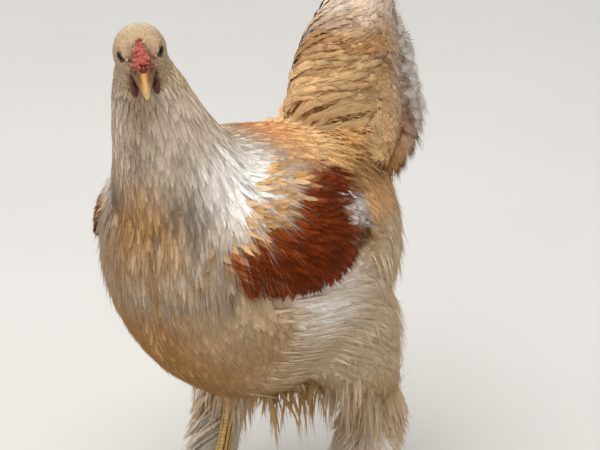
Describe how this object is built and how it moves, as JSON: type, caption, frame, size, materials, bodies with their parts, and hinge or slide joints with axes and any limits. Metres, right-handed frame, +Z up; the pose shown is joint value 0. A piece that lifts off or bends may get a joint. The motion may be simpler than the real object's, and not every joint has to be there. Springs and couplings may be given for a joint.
{
  "type": "brahma chicken",
  "caption": "Large feather-footed cockerel standing on both feet, pea comb, small wattles, folded wings and a full rounded tail.",
  "frame": {"origin": "on the floor, under the middle of the bird's bounding box", "axes": "+Z up, the bird faces -Y, its left side is +X"},
  "size_m": [0.2548, 0.4182, 0.5998],
  "materials": {
    "buff_feather": "matt",
    "cream_feather": "matt",
    "gold_feather": "soft sheen",
    "chestnut_feather": "soft sheen",
    "red_skin": "pebbled, slightly moist",
    "dark_red_skin": "soft",
    "yellow_horn": "smooth, satin",
    "yellow_scale": "scaly, satin",
    "eye": "wet gloss"
  },
  "bodies": {
    "root": {"beak_lower": "yellow_horn", "beak_upper": "yellow_horn", "claw_hind_left": "yellow_horn", "claw_hind_right": "yellow_horn", "claw_inner_left": "yellow_horn", "claw_inner_right": "yellow_horn", "claw_middle_left": "yellow_horn", "claw_middle_right": "yellow_horn", "claw_outer_left": "yellow_horn", "claw_outer_right": "yellow_horn", "comb": "red_skin", "eye_left": "eye", "eye_right": "eye", "foot_left": "yellow_scale", "foot_right": "yellow_scale", "head": "cream_feather", "neck": "cream_feather", "saddle": "gold_feather", "shank_left": "yellow_scale", "shank_right": "yellow_scale", "tail": "gold_feather", "thigh_left": "cream_feather", "thigh_right": "cream_feather", "torso": "buff_feather", "wattle_left": "dark_red_skin", "wattle_right": "dark_red_skin", "wing_left": "chestnut_feather", "wing_right": "chestnut_feather"}
  },
  "joints": []
}
